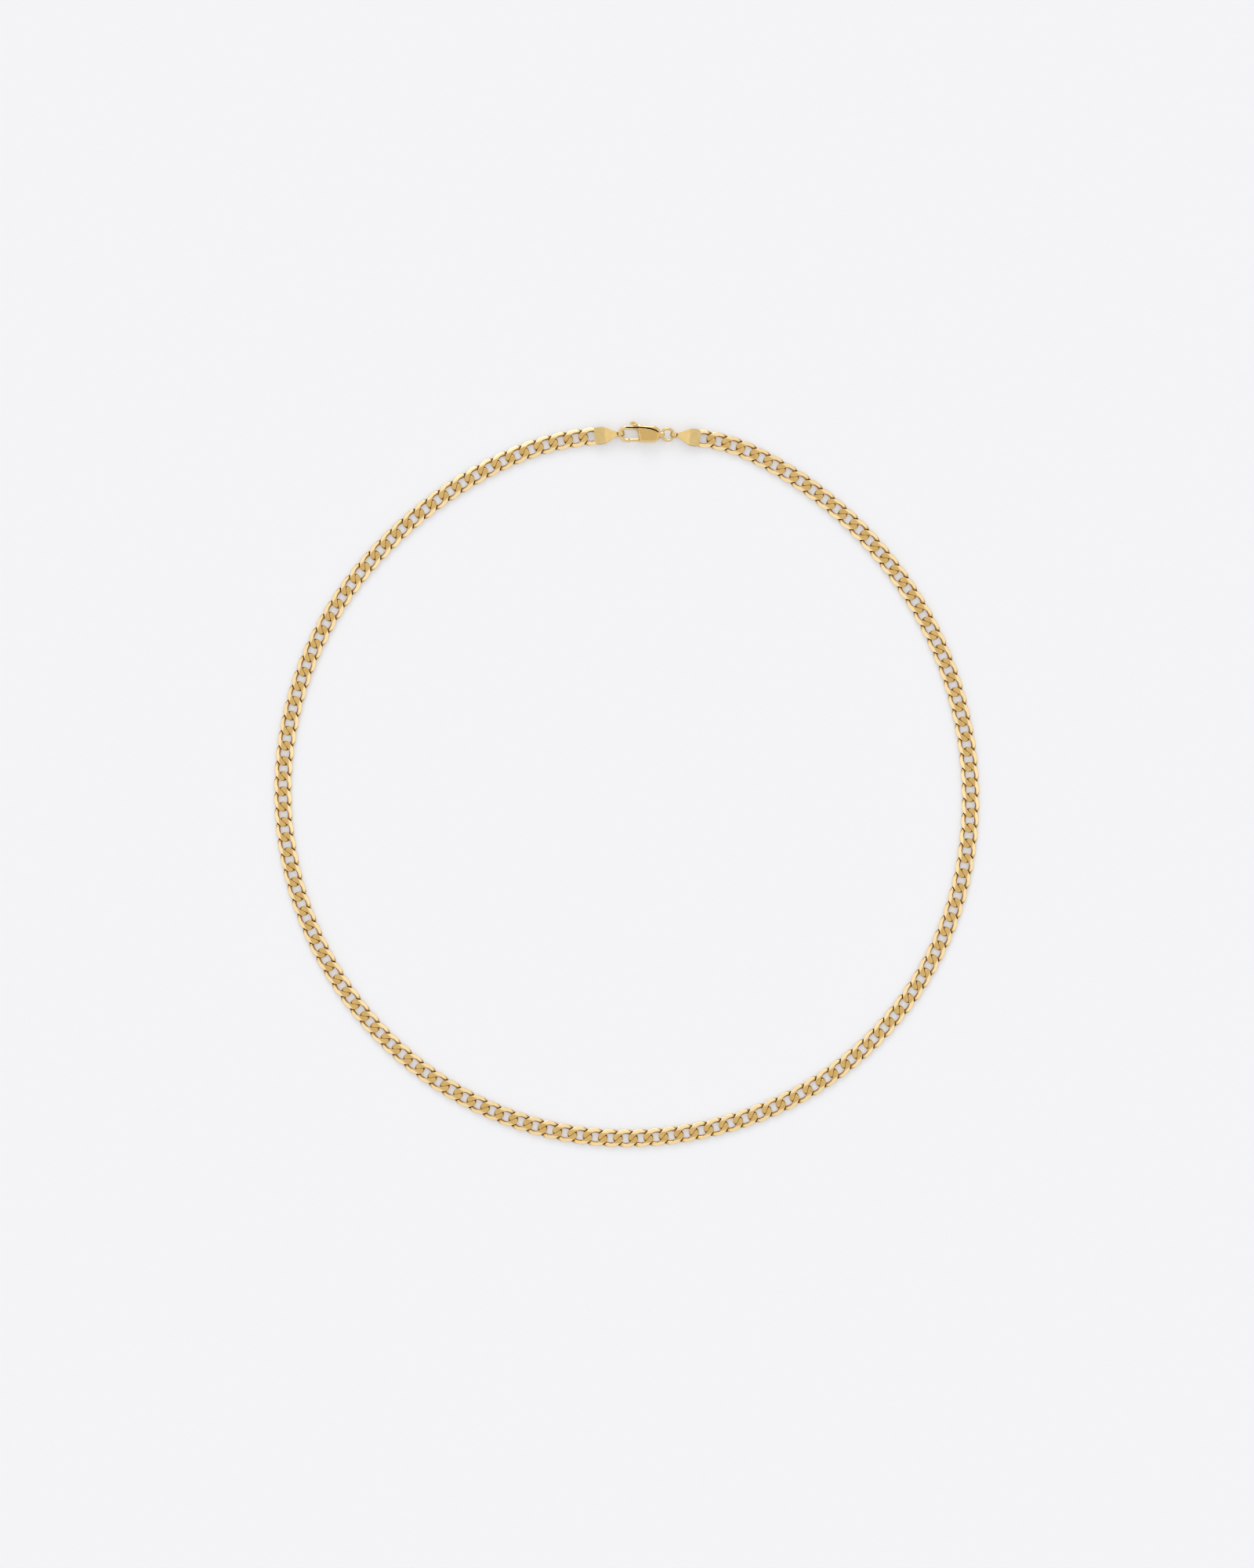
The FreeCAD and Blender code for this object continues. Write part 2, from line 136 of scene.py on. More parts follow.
BODY_NET = 0.045         # size of the fine net's quads
BODY_HALF = ((-0.2, 0.50), (3.4, 0.50), (4.7, 1.20), (8.9, 1.20), (9.7, 0.94), (11.0, 0.94))
BODY_CORE = ((3.4, 0), (4.05, 0.49), (9.4, 0.49), (9.8, 0))
BODY_RIMS = ((ALL_ALONG, 0.2), (4.0, 0.49), (9.45, 0.85))
BODY_CROWN = 0.46        # how far in from its rim the body is rounded
BODY_RIM_SHARE = 0.2     # share of the height that is left at the rim

LEVER_NET = 0.04
LEVER_HALF = ((0, 0.4),)
LEVER_CORE = ((0, 0),)
LEVER_RIMS = ((ALL_ALONG, 0.0),)
LEVER_CROWN = 0.30
LEVER_RIM_SHARE = 0.3

GROOVE_LINE = ((1.7, 1.44), (4.0, 1.44), (6.4, 1.36), (7.6, 1.16), (8.5, 0.86), (9.2, 0.46))
GROOVE_REACH = 0.27      # the groove's painted shade lies within this of its line
GROOVE_END = 0.16        # and goes this much past the line's ends
GROOVE_DEPTH = (0.06, 0.24)        # what is this deep below the face gets painted shade

# --- Colours --------------------------------------------------------------------
SATIN_LIGHT = (0.75, 0.51, 0.195)
SATIN_DEEP = (0.64, 0.41, 0.13)
# lighter gold painted on the polished bevels and rims as a highlight
POLISHED_WITH_HIGHLIGHT = (0.91, 0.71, 0.395)
# painted shade: dark brown where the wire faces the link's hole and where it meets its neighbours
PAINTED_SHADE = (0.34, 0.11, 0.015)
TAB_LIGHT = (0.80, 0.59, 0.27)
TAB_DEEP = (0.72, 0.51, 0.20)
# a painted highlight: the tab's rounded edges lighter than its faces
EDGE_HIGHLIGHT_LIGHT = (0.86, 0.63, 0.30)
EDGE_HIGHLIGHT_DEEP = (0.74, 0.48, 0.18)
RING_LIGHT = (0.84, 0.63, 0.30)
RING_DEEP = (0.72, 0.50, 0.20)
# near black painted shade in the clasp's engraved groove
GROOVE_SHADE = (0.012, 0.009, 0.006)
STEEL_DARK = (0.42, 0.41, 0.39)
STEEL_LIGHT = (0.62, 0.61, 0.58)
TABLE_LOW = (0.580, 0.587, 0.598)
TABLE_HIGH = (0.600, 0.607, 0.618)
TABLE_GLOW = (1.0, 0.99, 1.0, 1.0)
TABLE_GLOW_STRENGTH = 0.30         # light of its own, which weakens the shadows on it

# --- Table, light and camera ----------------------------------------------------
TABLE_REACH = 8.0        # half width of the table, in metres
TABLE_DROP = 0.02        # the necklace is this far above it
SKY_COLOUR = (0.98, 0.98, 1.0, 1.0)
SKY_LOW = 0.30           # strength of the sky at the horizon
SKY_HIGH = 0.86          # and overhead
SKY_RISE = 0.55          # height, on a sky of radius 1, where it is fully bright
WARM_WHITE = (1.0, 0.985, 0.96)
WHITE = (1.0, 1.0, 1.0)
RING_LAMPS = 8           # soft lamps in a ring overhead
RING_FIRST = 22.5        # bearing of the first, in degrees
RING_LEAN = 34           # their lean from straight overhead
RING_SPREAD = 34         # and the angle that each fills
RING_STRENGTH = 0.045
RING_SWING = 0.02        # stronger by this at the sides, weaker at the front and back
LENS = 125               # focal length
SENSOR = 36              # width of the sensor
FAR_CLIP = 50            # in metres
CAMERA_HEIGHT = 1.0      # in metres, looking straight down
CAMERA_SHIFT = (0.08, 0.01)        # from above the middle of the necklace


# --- Small helpers --------------------------------------------------------------
def new_object(name, mesh):
    thing = bpy.data.objects.new(name, mesh)
    bpy.context.scene.collection.objects.link(thing)
    return thing


def stand_in(thing, node):
    """The piece takes the place of a CAD node, on the body that the node rides on."""
    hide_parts(node)
    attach(thing, NODES[node]["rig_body"])


def joint(name):
    return [j for j in frame["joints"] if j["name"] == name][0]


def at_places(table, places):
    """Values between the rows of a table of (place, value)."""
    known, values = zip(*table)
    return np.interp(places, known, values)


def point_attribute(mesh, name, values):
    layer = mesh.attributes.new(name, "FLOAT_VECTOR", "POINT")
    layer.data.foreach_set("vector", np.asarray(values, np.float32).ravel())


def tube_faces(around, across):
    """Quads of a closed tube whose rings of vertices follow one another."""
    i = np.arange(around)[:, None]
    j = np.arange(across)[None, :]
    far, over = (i + 1) % around, (j + 1) % across
    corners = [i * across + j, far * across + j, far * across + over, i * across + over]
    return np.stack(corners, -1).reshape(-1, 4)


def welded(node):
    """The CAD node's mesh in millimetres, its faces sharing their corners."""
    bm = bmesh.new()
    bm.from_mesh(NODES[node].data)
    bmesh.ops.scale(bm, vec=(1 / MM,) * 3, verts=bm.verts)
    bmesh.ops.remove_doubles(bm, verts=bm.verts, dist=WELD)
    return bm


def islands(node):
    """Each closed skin of a CAD node: the corners of its triangles, in millimetres."""
    bm = welded(node)
    bmesh.ops.triangulate(bm, faces=bm.faces)
    bm.verts.ensure_lookup_table()
    points = np.array([v.co for v in bm.verts])
    seen = set()
    found = []
    for first in bm.verts:
        if first.index in seen:
            continue
        seen.add(first.index)
        stack = [first]
        corners = []
        while stack:
            vert = stack.pop()
            for face in vert.link_faces:
                ids = [v.index for v in face.verts]
                if ids[0] == vert.index:
                    corners.append(ids)
            for edge in vert.link_edges:
                other = edge.other_vert(vert)
                if other.index not in seen:
                    seen.add(other.index)
                    stack.append(other)
        found.append(points[np.array(corners)])
    bm.free()
    return found


def skin_pose(corners):
    """Middle and axes of a link's skin, from the spread of its surface: long, wide, thin."""
    a, b, c = corners[:, 0], corners[:, 1], corners[:, 2]
    area = np.linalg.norm(np.cross(b - a, c - a), axis=1) / 2
    centres = (a + b + c) / 3
    middle = (area[:, None] * centres).sum(0) / area.sum()
    spread = np.zeros((3, 3))
    for points, share in ((a, 1), (b, 1), (c, 1), (centres, 9)):
        off = points - middle
        spread += np.einsum("i,ij,ik->jk", area * share / 12, off, off)
    axes = np.linalg.eigh(spread)[1][:, ::-1]
    long_axis, thin = axes[:, 0], axes[:, 2]
    thin = thin * np.sign(thin[2])
    return middle, long_axis, np.cross(thin, long_axis), thin


# --- One curb link --------------------------------------------------------------
def wire_line(angle):
    twist = -math.radians(LINK_TWIST) * np.cos(angle) * np.abs(np.cos(angle))
    x = LINK_A * np.cos(angle)
    y = LINK_B * np.sin(angle) * np.cos(twist)
    z = LINK_B * np.sin(angle) * np.sin(twist)
    return np.stack([x, y, z], -1)


def link_facets():
    """Normals and distances of the cut faces: the two flats, then the sides and bevels."""
    slope = math.radians(BEVEL)
    edge = FLAT_HALF * math.cos(slope) + FLAT_EDGE * math.sin(slope)
    flats = [((0, 0, face), FLAT_HALF) for face in (1, -1)]
    sides = [((0, side, 0), HALF_WIDTH) for side in (1, -1)]
    bevels = [((0, side * math.sin(slope), face * math.cos(slope)), edge)
              for side in (1, -1) for face in (1, -1)]
    return flats, sides + bevels


def neighbour_wires():
    """Points on the wires of the two neighbours, where they pass through this link."""
    near = wire_line(np.linspace(-0.5, 0.5, NEIGHBOUR_POINTS) * np.pi)
    far = near * (-1, 1, -1)
    return np.concatenate([near - (PITCH, 0, 0), far + (PITCH, 0, 0)])


def seam_room(spots, centre):
    """How much nearer each spot is to this wire than to a neighbour's, less the seam."""
    wires = neighbour_wires()
    gaps = np.linalg.norm(spots[..., None, :] - wires, axis=-1)
    other = wires[gaps.argmin(-1)] - centre
    upright = np.abs(other[..., 2]) / np.linalg.norm(other, axis=-1)
    own = np.linalg.norm(spots - centre, axis=-1)
    room = TWIST_ROOM * upright * np.maximum(np.abs(spots[..., 1]) - SNUG_HALF, 0)
    return gaps.min(-1) - own - SEAM - room


def seam_reach(start, rays, centre):
    """How far each ray from the start goes before it meets the seam."""
    low, high = np.zeros(len(rays)), np.full(len(rays), 2 * END_R)
    for _ in range(SEAM_HALVINGS):
        half = (low + high) / 2
        clear = seam_room(start + rays * half[:, None], centre) > 0
        low, high = np.where(clear, half, low), np.where(clear, high, half)
    return high


def evenly_spread(outline, turn):
    """Turns at which to place a ring's vertices: even along its outline, closer at corners."""
    run = np.diff(outline, axis=0)
    length = np.hypot(run[:, 0], run[:, 1])
    heading = np.unwrap(np.arctan2(run[:, 1], run[:, 0]))
    bend = np.abs(np.gradient(heading))
    share = length / length.sum() + CORNER_PULL * bend / bend.sum()
    travel = np.concatenate([[0], np.cumsum(share)])
    return np.interp(np.arange(ACROSS) / ACROSS * travel[-1], travel, turn)


def section_plane(angle):
    """Middle of the wire at one place, and rows that span the plane across it."""
    step = 1e-4
    centre = wire_line(np.array(angle))
    along = wire_line(np.array(angle + step)) - wire_line(np.array(angle - step))
    along /= np.linalg.norm(along)
    out = np.cross(along, (0, 0, 1))
    out /= np.linalg.norm(out)
    return centre, np.stack([out, np.cross(out, along)])


def link_section(angle):
    """Points round the wire's cut section at one place, and how each one is finished and shaded:
    its shares of flat face and of bevel, and how much shade is painted on it."""
    centre, plane = section_plane(angle)
    radius = WIRE_R + (END_R - WIRE_R) * math.cos(angle) ** 2
    flats, others = link_facets()
    normals = np.array([plane @ normal for normal, _ in flats + others])
    offsets = np.array([far - np.dot(normal, centre) for normal, far in flats + others])

    steps = np.linspace(-radius, radius, SECTION_GRID)
    grid = np.stack(np.meshgrid(steps, steps), -1).reshape(-1, 2)
    inside = (normals @ grid.T < offsets[:, None]).all(0) & (np.hypot(*grid.T) < radius)
    inside &= seam_room(centre + grid @ plane, centre) > 0
    middle = grid[inside].mean(0)

    turn = np.linspace(0, 2 * np.pi, SECTION_RAYS)
    ray = np.stack([np.cos(turn), np.sin(turn)], -1)
    toward = ray @ middle
    arc = np.sqrt(toward ** 2 + radius ** 2 - middle @ middle) - toward
    seam = seam_reach(centre + middle @ plane, ray @ plane, centre)
    closeness = np.maximum(ray @ normals.T, 0) / (offsets - normals @ middle)
    closeness = np.column_stack([closeness, 1 / arc, 1 / seam]) ** EDGE_POWER
    total = closeness.sum(1)
    outline = middle + ray * (total ** (-1 / EDGE_POWER))[:, None]

    share = closeness / total[:, None]
    flat = share[:, :len(flats)].sum(1)
    bevel = share[:, len(flats):-2].sum(1)
    round_share, seam_share = share[:, -2], share[:, -1]
    # painted shade: full on the seam where a neighbour presses, growing as the wire turns to face
    # the hole
    painted_shade = seam_share + round_share * np.clip(PAINTED_SHADE_FROM - ray[:, 0], 0, PAINTED_SHADE_MOST)

    picks = evenly_spread(outline, turn)
    values = [np.interp(picks, turn, v) for v in (*outline.T, flat, bevel, painted_shade)]
    return centre + np.stack(values[:2], -1) @ plane, np.stack(values[2:], -1)


def curb_link():
    rings = [link_section(2 * math.pi * k / AROUND) for k in range(AROUND)]
    spots = np.concatenate([ring[0] for ring in rings])
    finish_and_painted_light = np.concatenate([ring[1] for ring in rings])
    return spots, finish_and_painted_light, tube_faces(AROUND, ACROSS)


def make_links():
    """One piece per group of links, each link where its CAD skin lies."""
    spots, finish_and_painted_light, faces = curb_link()
    count = 0
    for node in sorted(NODES):
        if "_link" not in node:
            continue
        places, grain = [], []
        for corners in islands(node):
            middle, long_axis, wide, thin = skin_pose(corners)
            places.append(middle + spots @ np.stack([long_axis, wide, thin]))
            grain.append(spots + np.array(GRAIN_STEP) * count)
            count += 1
        quads = np.concatenate([faces + k * len(spots) for k in range(len(places))])
        mesh = bpy.data.meshes.new(node + "_skin")
        mesh.from_pydata(np.concatenate(places) * MM, [], quads)
        mesh.shade_smooth()
        point_attribute(mesh, "grain", np.concatenate(grain))
        point_attribute(mesh, "finish_and_painted_light", np.tile(finish_and_painted_light, (len(places), 1)))
        mesh.materials.append(CHAIN_GOLD)
        stand_in(new_object(node + "_cut", mesh), node)


# --- End tabs and jump ring -----------------------------------------------------
def weighted_normals(mesh):
    """Normals that keep broad faces flat and turn only across the rounded edges."""
    normals = np.zeros((len(mesh.vertices), 3))
    for face in mesh.polygons:
        normals[list(face.vertices)] += np.array(face.normal) * face.area
    length = np.linalg.norm(normals, axis=1)
    normals /= np.maximum(length, 1e-12)[:, None]
    mesh.shade_smooth()
    mesh.normals_split_custom_set_from_vertices(normals.tolist())


def make_tab(node):
    """The folded strip of the CAD node, its edges rounded, smoother and painted lighter than its
    faces as a highlight.
    """
    bm = welded(node)
    bmesh.ops.dissolve_limit(bm, angle_limit=math.radians(FLAT_WITHIN),
                             verts=bm.verts, edges=bm.edges)
    edges = [e for e in bm.edges if e.calc_face_angle(0) > math.radians(TAB_SHARP)]
    bmesh.ops.bevel(bm, geom=edges, offset=TAB_EDGE_R, offset_type="OFFSET",
                    segments=TAB_EDGE_SEGMENTS, profile=0.5, affect="EDGES",
                    clamp_overlap=True, material=1)
    bmesh.ops.scale(bm, vec=(MM,) * 3, verts=bm.verts)
    mesh = bpy.data.meshes.new(node + "_skin")
    bm.to_mesh(mesh)
    bm.free()
    mesh.materials.clear()
    mesh.materials.append(TAB_GOLD)
    mesh.materials.append(EDGE_GOLD_HIGHLIT)
    weighted_normals(mesh)
    stand_in(new_object(node + "_piece", mesh), node)


def make_ring():
    """Jump ring of round wire, with a fine line at its join and one opposite."""
    low, high = (np.array(corner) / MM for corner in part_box("jump_ring"))
    wire = (high[2] - low[2]) / 2
    radius = (high[0] - low[0]) / 2 - wire
    middle = (low + high) / 2
    turn = np.arange(RING_AROUND) / RING_AROUND * 2 * np.pi
    turn = turn - RING_GATHER * np.sin(turn)
    over = np.arange(RING_ACROSS) / RING_ACROSS * 2 * np.pi
    lines = [np.exp(-((turn - at) / RING_LINE_HALF) ** 2) for at in (0, np.pi)]
    thickness = wire * (1 - RING_LINE_DEEP * (lines[0] + lines[1]))
    reach = radius + np.outer(thickness, np.cos(over))
    x = middle[0] - reach * np.cos(turn)[:, None]
    y = middle[1] + reach * np.sin(turn)[:, None]
    z = middle[2] + np.outer(thickness, np.sin(over))
    spots = np.stack([x, y, z], -1).reshape(-1, 3)
    mesh = bpy.data.meshes.new("jump_ring_skin")
    mesh.from_pydata(spots * MM, [], tube_faces(RING_AROUND, RING_ACROSS))
    mesh.shade_smooth()
    mesh.materials.append(RING_GOLD)
    stand_in(new_object("jump_ring_wire", mesh), "jump_ring")


# --- Clasp ----------------------------------------------------------------------
def clasp_axes():
    """The clasp's end corner, and rows that turn a place into along, across and up."""
    roll = joint("clasp_roll")
    along = Vector(roll["axis"]).normalized()
    corner = Vector(roll["pos_m"]) / MM - along * HOOK_WIRE_AT
    return np.array(corner), np.array([along, (-along.y, along.x, 0), (0, 0, 1)])


def fine_skin(node, quad):
    """The CAD node's skin as an even net of small quads, in millimetres."""
    rough = bpy.data.meshes.new(node + "_rough")
    bm = welded(node)
    bm.to_mesh(rough)
    bm.free()
    holder = new_object(node + "_rough", rough)
    remesh = holder.modifiers.new("net", "REMESH")
    remesh.mode = "VOXEL"
    remesh.voxel_size = quad
    settle = holder.modifiers.new("settle", "SMOOTH")
    settle.factor = 0.5
    settle.iterations = SETTLE_ROUNDS
    graph = bpy.context.evaluated_depsgraph_get()
    mesh = bpy.data.meshes.new_from_object(holder.evaluated_get(graph))
    bpy.data.objects.remove(holder)
    return mesh


def outline_at(corners, level):
    """Lines, in plan, along which a skin of triangles crosses a height."""
    above = corners[:, :, 2] > level
    lines = []
    for a, b, c in ((0, 1, 2), (1, 2, 0), (2, 0, 1)):
        lone, left, right = corners[:, a], corners[:, b], corners[:, c]
        split = (above[:, a] != above[:, b]) & (above[:, a] != above[:, c])
        ends = []
        for other in (left, right):
            share = (level - lone[split, 2]) / (other[split, 2] - lone[split, 2])
            ends.append(lone[split, :2] + share[:, None] * (other - lone)[split, :2])
        lines.append(np.stack(ends, 1))
    return np.concatenate(lines)


def distance_to(lines, spots):
    """Distance in plan from each spot to the nearest line."""
    start, run = lines[:, 0], lines[:, 1] - lines[:, 0]
    square = np.maximum((run ** 2).sum(1), 1e-12)
    batch = 2000
    nearest = []
    for part in np.array_split(spots, max(1, len(spots) // batch)):
        off = part[:, None] - start
        share = np.clip((off * run).sum(2) / square, 0, 1)
        nearest.append(np.linalg.norm(off - share[..., None] * run, axis=2).min(1))
    return np.concatenate(nearest)


def rim_distance(node, spots, rims):
    """How far each spot of the clasp is from the rim, in plan.

    rims: (from, height) pairs, each height's outline being the rim from there on
    """
    corner, axes = clasp_axes()
    pivot = (np.array(joint("lever_swing")["pos_m"]) / MM - corner) @ axes.T
    skin = (np.concatenate(islands(node)) - corner) @ axes.T
    distance = np.zeros(len(spots))
    stops = [start for start, _ in rims[1:]] + [math.inf]
    for (start, level), stop in zip(rims, stops):
        here = (spots[:, 0] >= start) & (spots[:, 0] < stop)
        lines = outline_at(skin, level)
        kept = np.linalg.norm(lines.mean(1) - pivot[:2], axis=1) > PIN_ROOM
        kept &= (lines[..., 0].max(1) > start) & (lines[..., 0].min(1) < stop)
        distance[here] = distance_to(lines[kept], spots[here, :2])
    return distance


def in_groove(spots, depth):
    """Whether each spot of the clasp's face is in its engraved line, where shade is painted."""
    off_line = np.abs(spots[:, 1] - at_places(GROOVE_LINE, spots[:, 0]))
    first, last = GROOVE_LINE[0][0] - GROOVE_END, GROOVE_LINE[-1][0] + GROOVE_END
    beside = (spots[:, 0] >= first) & (spots[:, 0] <= last) & (off_line < GROOVE_REACH)
    return beside & (depth > GROOVE_DEPTH[0]) & (depth < GROOVE_DEPTH[1])


def crowned(node, quad, half, core, rims, crown, rim_share):
    """The CAD node's skin with its rim drawn down, as cast and tumbled metal is.

    half, core: half thickness and the part of it left alone, at places along the clasp
    crown, rim_share: how far in from the rim it is rounded, and the height left there
    """
    corner, axes = clasp_axes()
    mesh = fine_skin(node, quad)
    spots = np.array([v.co for v in mesh.vertices])
    spots = (spots - corner) @ axes.T
    inward = np.clip(rim_distance(node, spots, rims) / crown, 0, 1)
    left = rim_share + (1 - rim_share) * np.sqrt(1 - (1 - inward) ** 2)
    height = np.abs(spots[:, 2])
    depth = at_places(half, spots[:, 0]) - height
    kept = at_places(core, spots[:, 0])
    drawn = np.where(height > kept, kept + (height - kept) * left, height)
    spots[:, 2] = np.sign(spots[:, 2]) * drawn
    mesh.vertices.foreach_set("co", ((spots @ axes + corner) * MM).ravel())
    mesh.update()
    mesh.shade_smooth()
    # inward sets the rims' painted highlight, the groove mask its painted shade
    point_attribute(mesh, "finish_and_painted_light", np.stack([inward, in_groove(spots, depth), height], -1))
    mesh.materials.append(CLASP_GOLD)
    return mesh


def make_clasp():
    body = crowned("clasp_body", BODY_NET, BODY_HALF, BODY_CORE, BODY_RIMS,
                   BODY_CROWN, BODY_RIM_SHARE)
    stand_in(new_object("clasp_body_cast", body), "clasp_body")
    lever = crowned("clasp_lever", LEVER_NET, LEVER_HALF, LEVER_CORE, LEVER_RIMS,
                    LEVER_CROWN, LEVER_RIM_SHARE)
    stand_in(new_object("clasp_lever_cast", lever), "clasp_lever")
    NODES["clasp_pin"].data.materials.clear()
    NODES["clasp_pin"].data.materials.append(CLASP_GOLD)


def make_spring():
    """The folded strip in the clasp's pocket, which the lever squeezes as it opens."""
    mesh = NODES["clasp_spring"].data.copy()
    mesh.materials.clear()
    mesh.materials.append(SPRING_STEEL)
    spring = new_object("clasp_spring_strip", mesh)
    stand_in(spring, "clasp_spring")
    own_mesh(spring)


# --- Materials --------------------------------------------------------------------
class Graph:
    """Short names for building one material's nodes."""

    def __init__(self, name, metal=True):
        self.material = bpy.data.materials.new(name)
        self.material.use_nodes = True
        self.nodes = self.material.node_tree.nodes
        self.links = self.material.node_tree.links
        self.shader = self.nodes["Principled BSDF"]
        self.shader.inputs["Metallic"].default_value = 1.0 if metal else 0.0

    def link(self, source, target):
        self.links.new(source, target)

    def shade(self, colour, roughness):
        self.link(colour, self.shader.inputs["Base Color"])
        self.link(roughness, self.shader.inputs["Roughness"])

    def add(self, kind, **settings):
        node = self.nodes.new(kind)
        for key, value in settings.items():
            setattr(node, key, value)
        return node

    def attribute(self, name):
        return self.add("ShaderNodeAttribute", attribute_name=name).outputs["Vector"]

    def place(self):
        """Coordinates fixed to the piece, in millimetres."""
        where = self.add("ShaderNodeTexCoord")
        scale = self.add("ShaderNodeVectorMath", operation="SCALE")
        self.link(where.outputs["Object"], scale.inputs[0])
        scale.inputs["Scale"].default_value = 1 / MM
        return scale.outputs["Vector"]

    def parts(self, vector):
        node = self.add("ShaderNodeSeparateXYZ")
        self.link(vector, node.inputs["Vector"])
        return node.outputs

    def noise(self, place, grains, detail, rough=0.6, turn=0.0):
        """Fine noise, with this many grains to a millimetre along each axis."""
        mapping = self.add("ShaderNodeMapping")
        mapping.inputs["Scale"].default_value = grains
        mapping.inputs["Rotation"].default_value = (0, 0, turn)
        self.link(place, mapping.inputs["Vector"])
        noise = self.add("ShaderNodeTexNoise")
        noise.inputs["Scale"].default_value = 1.0
        noise.inputs["Detail"].default_value = detail
        noise.inputs["Roughness"].default_value = rough
        self.link(mapping.outputs["Vector"], noise.inputs["Vector"])
        return noise.outputs["Fac"]

    def patches(self, place, grains):
        """Broad unevenness of tone."""
        return self.noise(place, (grains,) * 3, detail=2.0)

    def specks(self, place, grains):
        """Fine mottling."""
        return self.noise(place, (grains,) * 3, detail=4.0, rough=0.7)

    def brushing(self, place, grains, turn=0.0):
        """Close parallel strokes, longest along the axis with the fewest grains."""
        return self.noise(place, grains, detail=4.0, turn=turn)

    def scratches(self, place, grains, turn, rarity=0.66):
        """A few stray scratches: 1 within one, 0 elsewhere."""
        stray = self.noise(place, grains, detail=1.0, turn=turn)
        return self.range(stray, 0, 1, source=(rarity, rarity + 0.08))

    def range(self, value, low, high, source=(0.3, 0.7)):
        """The value brought from its source range to low..high."""
        node = self.add("ShaderNodeMapRange")
        node.inputs["From Min"].default_value = source[0]
        node.inputs["From Max"].default_value = source[1]
        node.inputs["To Min"].default_value = low
        node.inputs["To Max"].default_value = high
        self.link(value, node.inputs["Value"])
        return node.outputs["Result"]

    def math(self, operation, a, b):
        node = self.add("ShaderNodeMath", operation=operation)
        for value, socket in ((a, node.inputs[0]), (b, node.inputs[1])):
            if isinstance(value, (int, float)):
                socket.default_value = value
            else:
                self.link(value, socket)
        return node.outputs["Value"]

    def sum(self, *parts):
        """Sum of outputs, each given with its weight."""
        total = 0.0
        for value, weight in parts:
            total = self.math("ADD", total, self.math("MULTIPLY", value, weight))
        return total

    def mix(self, share, a, b):
        """Colour between a and b; each is a colour or another node's output."""
        node = self.add("ShaderNodeMix", data_type="RGBA")
        self.link(share, node.inputs["Factor"])
        for value, name in ((a, "A"), (b, "B")):
            socket = [s for s in node.inputs if s.name == name and s.type == "RGBA"][0]
            if isinstance(value, tuple):
                socket.default_value = value + (1.0,)
            else:
                self.link(value, socket)
        return [s for s in node.outputs if s.type == "RGBA"][0]

    def bump(self, height, distance):
        """Unevenness of the surface, this many millimetres deep."""
        node = self.add("ShaderNodeBump")
        node.inputs["Strength"].default_value = 1.0
        node.inputs["Distance"].default_value = distance * MM
        self.link(height, node.inputs["Height"])
        self.link(node.outputs["Normal"], self.shader.inputs["Normal"])


def plain_gold(name, light, deep, rough, grain):
    """Gold with fine brushing, a little variation in colour, and stray scratches."""
    g = Graph(name)
    place = g.place()
    brush = g.brushing(place, (0.8, 14.0, 14.0))
    scratch = g.scratches(place, (0.5, 22.0, 5.0), turn=0.7)
    tone = g.sum((g.patches(place, 0.9), 0.6), (g.specks(place, 7.0), 0.4))
    colour = g.mix(g.range(tone, 0.0, 1.0, source=(0.35, 0.65)), deep, light)
    roughness = g.sum((g.range(brush, rough - 0.05, rough + 0.07), 1.0), (scratch, 0.12))
    g.shade(colour, roughness)
    g.bump(g.sum((brush, 1.0), (scratch, -0.5)), grain)
    return g.material


def cut_gold():
    """The chain: satin on the flat faces, polished bevels painted lighter as a highlight, and
    painted shade inside the link and at its seams.
    """
    g = Graph("chain_gold_cut")
    place = g.attribute("grain")
    flat, bevel, painted_shade = g.parts(g.attribute("finish_and_painted_light"))
    speck = g.specks(place, 6.5)
    brush = g.brushing(place, (1.2, 16.0, 16.0), turn=0.55)
    scratch = g.scratches(place, (0.5, 20.0, 4.0), turn=-0.8)
    tone = g.sum((g.patches(place, 0.35), 0.45), (speck, 0.55))
    satin = g.mix(g.range(tone, 0.0, 1.0, source=(0.38, 0.62)), SATIN_DEEP, SATIN_LIGHT)
    # bevels painted lighter as a highlight
    highlit_bevels = g.mix(bevel, satin, POLISHED_WITH_HIGHLIGHT)
    # painted shade inside the link and at its seams
    colour = g.mix(g.math("MULTIPLY", painted_shade, 0.9), highlit_bevels, PAINTED_SHADE)
    bright_rough = g.range(brush, 0.17, 0.27)
    rougher = g.sum((g.range(brush, 0.30, 0.46), 1.0), (bright_rough, -1.0))
    roughness = g.sum((bright_rough, 1.0), (g.math("MULTIPLY", rougher, flat), 1.0),
                      (scratch, 0.10))
    g.shade(colour, roughness)
    height = g.sum((brush, 0.5), (scratch, -0.2), (speck, 0.5))
    depth = g.range(flat, 0.25, 1.0, source=(0.0, 1.0))
    g.bump(g.math("MULTIPLY", height, depth), 0.020)
    return g.material


